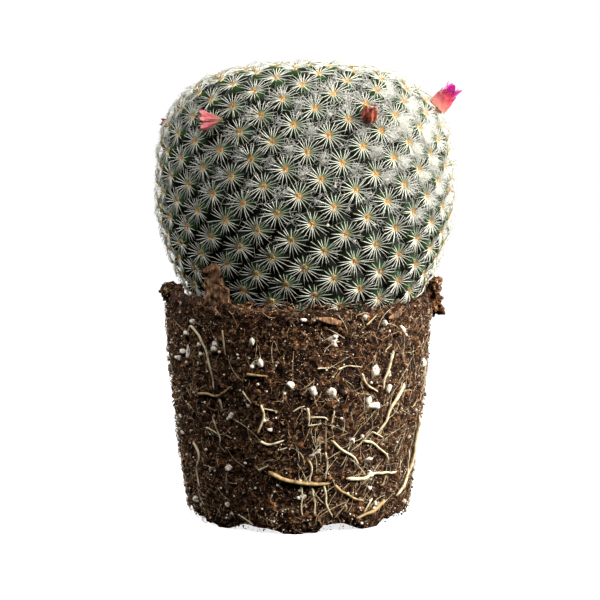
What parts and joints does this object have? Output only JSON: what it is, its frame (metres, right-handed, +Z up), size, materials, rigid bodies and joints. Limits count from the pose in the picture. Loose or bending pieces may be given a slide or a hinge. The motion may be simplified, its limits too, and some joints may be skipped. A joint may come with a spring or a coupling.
{
  "type": "round cactus on its bare root ball",
  "caption": "Squat round cactus with spirals of tubercles, white spines, a closed flower and dried flowers, standing unpotted on its tapered ball of soil and roots.",
  "frame": {"origin": "centre of the root ball's flat base, on the surface that it stands on", "axes": "+Z up along the root ball's axis, -Y out of the plant's front, +X to the right of a person who faces that front, which is the side of the closed flower"},
  "size_m": [0.1059, 0.1042, 0.158],
  "materials": {
    "cactus_flesh": "satin green skin of the tubercles, under white spines and wool",
    "soil": "dark brown peat held together by fine roots",
    "bark": "split composted bark",
    "perlite": "expanded white perlite, matt",
    "root_gold": "older golden roots, smooth",
    "root_cream": "young pale roots, slightly translucent",
    "flower_base": "salmon flower tube, waxy",
    "petal": "furled magenta petals, thin and satin",
    "dried_pink": "faded salmon dried flower",
    "dried_rust": "rust red dried flower"
  },
  "bodies": {
    "root": {"bark_shard": "bark", "bark_sliver_front": "bark", "bark_sliver_right": "bark", "dried_flower_edge": "dried_rust", "dried_flower_left": "dried_pink", "dried_flower_right": "dried_rust", "flower_tube": "flower_base", "perlite_grain_01": "perlite", "perlite_grain_02": "perlite", "perlite_grain_03": "perlite", "perlite_grain_04": "perlite", "perlite_grain_05": "perlite", "perlite_grain_06": "perlite", "perlite_grain_07": "perlite", "perlite_grain_08": "perlite", "perlite_grain_09": "perlite", "perlite_grain_10": "perlite", "perlite_grain_11": "perlite", "perlite_grain_12": "perlite", "perlite_grain_13": "perlite", "petal_inner_1": "petal", "petal_inner_2": "petal", "petal_inner_3": "petal", "petal_outer_1": "petal", "petal_outer_2": "petal", "petal_outer_3": "petal", "petal_outer_4": "petal", "petal_outer_5": "petal", "root_antler": "root_gold", "root_arch_high": "root_cream", "root_arch_low": "root_cream", "root_back_left": "root_gold", "root_back_right": "root_cream", "root_back_ring": "root_cream", "root_ball": "soil", "root_bend_right": "root_cream", "root_drop_front": "root_cream", "root_drop_right": "root_cream", "root_edge_right": "root_cream", "root_foot_right": "root_gold", "root_fork_front": "root_cream", "root_hook": "root_cream", "root_left_side": "root_cream", "root_left_strand": "root_cream", "root_long_right": "root_cream", "root_main": "root_gold", "root_main_fork_a": "root_cream", "root_main_fork_b": "root_cream", "root_main_fork_c": "root_cream", "root_main_fork_d": "root_gold", "root_pale_curl": "root_cream", "root_ring_right": "root_cream", "root_stub_gold": "root_gold", "root_upper_left": "root_cream", "root_upper_right": "root_cream", "soil_clump_back": "soil", "soil_clump_left": "soil", "soil_clump_right": "soil", "stem": "cactus_flesh"}
  },
  "joints": []
}
